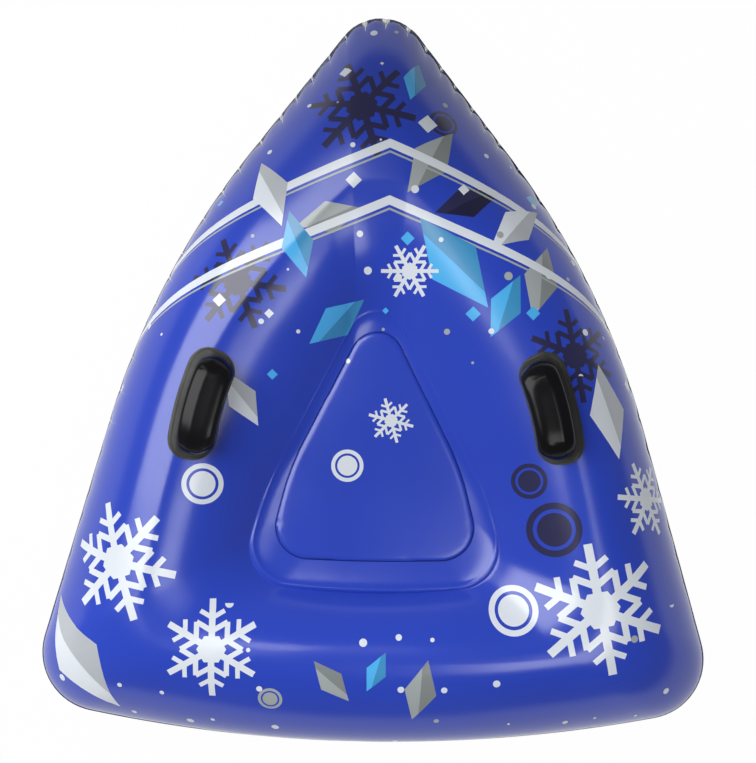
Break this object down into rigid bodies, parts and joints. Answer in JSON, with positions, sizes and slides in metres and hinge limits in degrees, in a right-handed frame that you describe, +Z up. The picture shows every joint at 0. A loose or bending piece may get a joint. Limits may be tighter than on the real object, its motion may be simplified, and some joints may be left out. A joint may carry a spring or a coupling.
{
  "type": "inflatable snow sled",
  "caption": "Inflatable snow sled: rounded triangular air tube with a recessed padded seat, two moulded grab handles and a screw-in air valve with a tethered cap.",
  "frame": {"origin": "On the snow, under the middle of the sled's length and width", "axes": "+Y towards the nose, +X to the rider's right, +Z up"},
  "size_m": [0.999, 1.094, 0.2711],
  "materials": {
    "blue_vinyl": "glossy printed vinyl",
    "dark_vinyl": "glossy sliding vinyl",
    "inner_vinyl": "plain vinyl film",
    "black_vinyl": "glossy moulded vinyl",
    "grey_foam": "closed-cell foam",
    "valve_plastic": "moulded plastic",
    "seal_rubber": "soft rubber"
  },
  "bodies": {
    "sled": {"top_skin": "blue_vinyl", "bottom_skin": "dark_vinyl", "seat_floor": "inner_vinyl", "seat_pad_cover": "blue_vinyl", "seat_pad_foam": "grey_foam", "seat_web": "inner_vinyl", "floor_beam_rear": "inner_vinyl", "floor_beam_middle": "inner_vinyl", "floor_beam_front": "inner_vinyl", "right_handle_patch": "black_vinyl", "right_handle_grip": "black_vinyl", "left_handle_patch": "black_vinyl", "left_handle_grip": "black_vinyl", "valve_flange": "valve_plastic"},
    "insert_seal": {"valve_insert_seal": "seal_rubber"},
    "insert": {"valve_insert": "valve_plastic", "valve_tether_ring": "valve_plastic"},
    "diaphragm": {"valve_diaphragm": "seal_rubber"},
    "cap": {"valve_cap": "valve_plastic", "valve_cap_seal": "seal_rubber"}
  },
  "joints": [
    {"name": "insert_rise", "type": "slide", "parent": "sled", "child": "insert_seal", "axis": [0, -0.7775, -0.6288], "range_m": [0, 0.004]},
    {"name": "insert_turn", "type": "hinge", "parent": "insert_seal", "child": "insert", "pos_m": [0, -0.51458, 0.04146], "axis": [0, -0.7775, -0.6288], "range_deg": [0, 720]},
    {"name": "cap_swing", "type": "hinge", "parent": "insert", "child": "cap", "pos_m": [0.02015, -0.52227, 0.03523], "axis": [0, -0.6288, 0.7775], "range_deg": [0, 150]},
    {"name": "diaphragm_lift", "type": "slide", "parent": "insert", "child": "diaphragm", "axis": [0, 0.7775, 0.6288], "range_m": [0, 0.002], "stiffness_N_per_m": 15}
  ],
  "couplings": [
    {"joint": "insert_rise", "follows": "insert_turn", "m_per_rad": 0.0003183}
  ]
}
